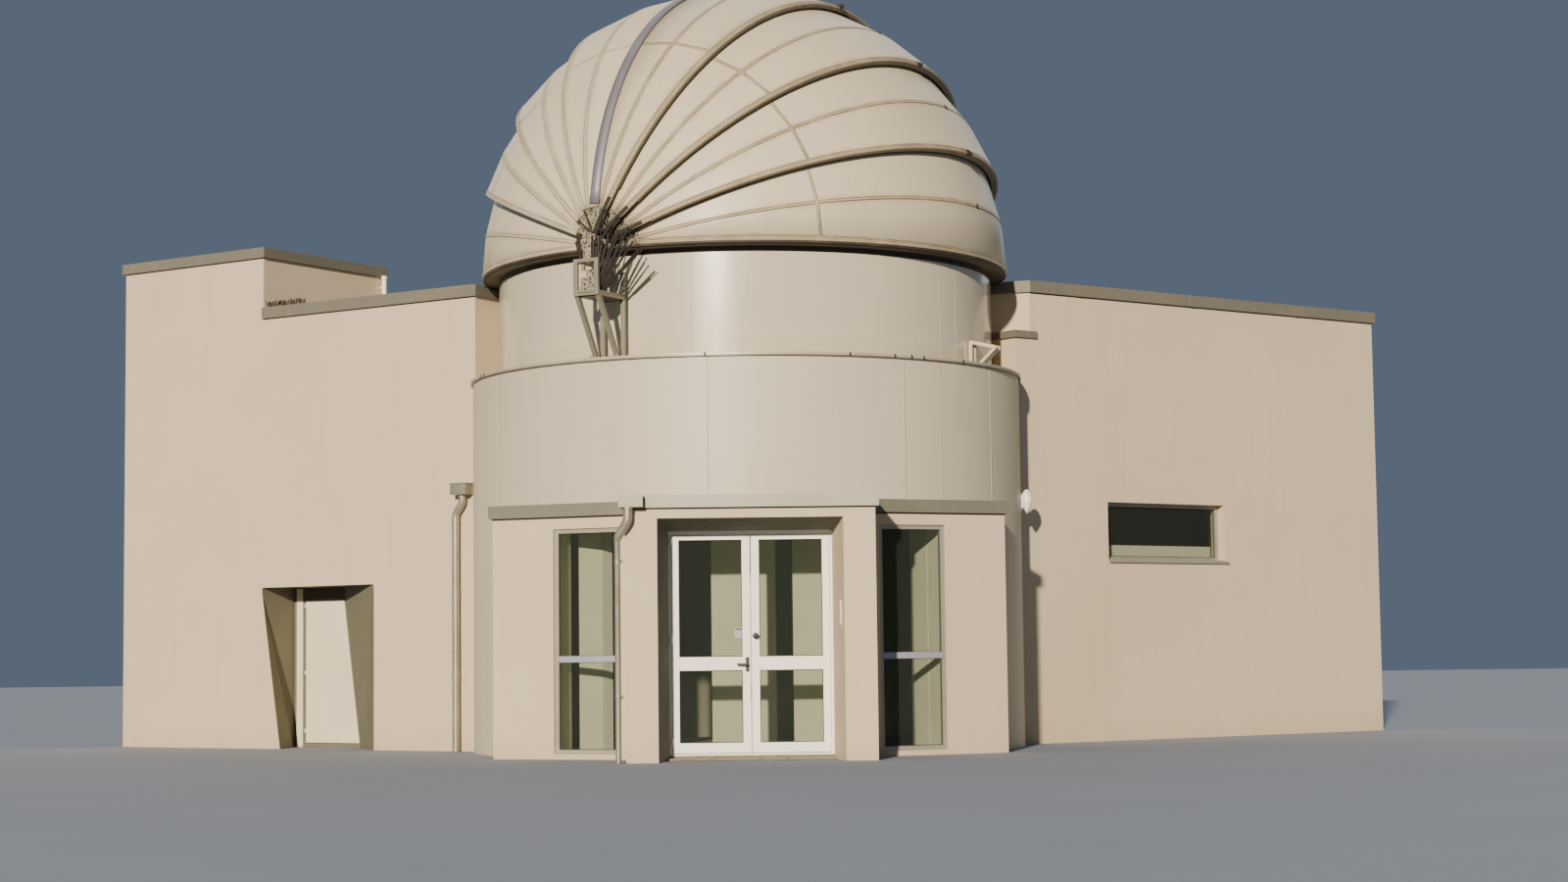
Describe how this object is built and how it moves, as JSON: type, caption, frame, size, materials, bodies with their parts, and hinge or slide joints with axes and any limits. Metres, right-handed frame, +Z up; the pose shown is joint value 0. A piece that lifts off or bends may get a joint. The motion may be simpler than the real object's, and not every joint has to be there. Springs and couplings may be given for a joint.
{
  "type": "observatory building with clamshell dome",
  "caption": "Observatory building: round drum under a clamshell dome of nested shells that fold down to each side, with a glazed porch, window bays and two straight wings.",
  "frame": {"origin": "on the ground, on the vertical axis of the round drum", "axes": "+Z up, the entrance faces -Y, +X to the right of someone who faces the entrance"},
  "size_m": [17.6237, 10.6293, 9.548],
  "materials": {
    "render": "smooth warm beige mineral render on masonry",
    "cladding": "satin off-white sheet cladding with vertical seams on a masonry wall",
    "coping": "matt grey-beige folded metal capping",
    "shell": "satin cream gelcoat with weathered streaks",
    "galvanised": "galvanised, spotted and dull",
    "reveal": "smooth olive-brown painted render",
    "white_metal": "white powder coat",
    "window_aluminium": "grey powder coat",
    "glazing": "clear, slightly grey",
    "black_plastic": "satin black",
    "zinc_pipe": "dull grey-beige zinc",
    "concrete": "plain trowelled screed"
  },
  "bodies": {
    "building": {"left_bay_wall": "render", "right_bay_wall": "render", "porch_left_pier": "render", "porch_right_pier": "render", "porch_head": "render", "left_wing_front_wall_near": "render", "left_wing_wall_over_side_door": "render", "left_wing_front_wall_far": "render", "left_wing_rear_walls": "render", "tower_back_walls": "render", "right_wing_front_wall": "render", "right_wing_rear_walls": "render", "drum_wall_over_entrance": "cladding", "drum_wall_front_left": "cladding", "drum_wall_front_right": "cladding", "drum_wall_back_left": "cladding", "drum_wall_back_right": "cladding", "upper_drum_front": "cladding", "upper_drum_back": "cladding", "drum_ledge": "coping", "porch_coping": "coping", "left_bay_coping": "coping", "right_bay_coping": "coping", "left_wing_roof": "coping", "tower_coping": "coping", "right_wing_roof": "coping", "right_wing_step_cap": "coping", "right_base_shell": "shell", "left_base_shell": "shell", "dome_base_ring": "galvanised", "front_bearing_bracket": "galvanised", "back_bearing_bracket": "galvanised", "right_ledge_stop": "galvanised", "left_ledge_stop": "galvanised", "side_door_lining": "reveal", "entrance_frame": "white_metal", "left_bay_window_frame": "window_aluminium", "right_bay_window_frame": "window_aluminium", "slot_window_frame": "window_aluminium", "left_bay_glass": "glazing", "right_bay_glass": "glazing", "slot_window_glass": "glazing", "left_downpipe": "zinc_pipe", "porch_downpipe": "zinc_pipe", "drum_floor_and_lobby_wall": "concrete", "left_wing_floor": "concrete", "right_wing_floor": "concrete"},
    "entrance_left_leaf": {"entrance_left_leaf": "white_metal", "entrance_left_glass": "glazing", "entrance_lever": "black_plastic"},
    "entrance_right_leaf": {"entrance_right_leaf": "white_metal", "entrance_right_glass": "glazing", "entrance_knob": "black_plastic"},
    "side_door": {"side_door_leaf": "white_metal"},
    "right_top_shell": {"right_top_shell": "shell"},
    "right_upper_shell": {"right_upper_shell": "shell"},
    "right_lower_shell": {"right_lower_shell": "shell"},
    "left_top_shell": {"left_top_shell": "shell"},
    "left_upper_shell": {"left_upper_shell": "shell"},
    "left_lower_shell": {"left_lower_shell": "shell"}
  },
  "joints": [
    {"name": "entrance_left_hinge", "type": "hinge", "parent": "building", "child": "entrance_left_leaf", "pos_m": [-0.889, -3.597, 1.34], "axis": [0, 0, -1], "range_deg": [0, 85]},
    {"name": "entrance_right_hinge", "type": "hinge", "parent": "building", "child": "entrance_right_leaf", "pos_m": [0.889, -3.597, 1.34], "axis": [0, 0, 1], "range_deg": [0, 85]},
    {"name": "side_door_hinge", "type": "hinge", "parent": "building", "child": "side_door", "pos_m": [-5.9485, 2.4756, 0.973], "axis": [0, 0, -1], "range_deg": [0, 70]},
    {"name": "right_top_hinge", "type": "hinge", "parent": "building", "child": "right_top_shell", "pos_m": [0, 0, 5.9], "axis": [0.4848, 0.8746, 0], "range_deg": [0, 64.5]},
    {"name": "right_upper_hinge", "type": "hinge", "parent": "building", "child": "right_upper_shell", "pos_m": [0, 0, 5.9], "axis": [0.4848, 0.8746, 0], "range_deg": [0, 43.05]},
    {"name": "right_lower_hinge", "type": "hinge", "parent": "building", "child": "right_lower_shell", "pos_m": [0, 0, 5.9], "axis": [0.4848, 0.8746, 0], "range_deg": [0, 21.55]},
    {"name": "left_top_hinge", "type": "hinge", "parent": "building", "child": "left_top_shell", "pos_m": [0, 0, 5.9], "axis": [-0.4848, -0.8746, 0], "range_deg": [0, 64.5]},
    {"name": "left_upper_hinge", "type": "hinge", "parent": "building", "child": "left_upper_shell", "pos_m": [0, 0, 5.9], "axis": [-0.4848, -0.8746, 0], "range_deg": [0, 43.05]},
    {"name": "left_lower_hinge", "type": "hinge", "parent": "building", "child": "left_lower_shell", "pos_m": [0, 0, 5.9], "axis": [-0.4848, -0.8746, 0], "range_deg": [0, 21.55]}
  ],
  "couplings": [
    {"joint": "right_upper_hinge", "follows": "right_top_hinge", "ratio": 0.66667},
    {"joint": "right_lower_hinge", "follows": "right_top_hinge", "ratio": 0.33333},
    {"joint": "left_upper_hinge", "follows": "left_top_hinge", "ratio": 0.66667},
    {"joint": "left_lower_hinge", "follows": "left_top_hinge", "ratio": 0.33333}
  ]
}
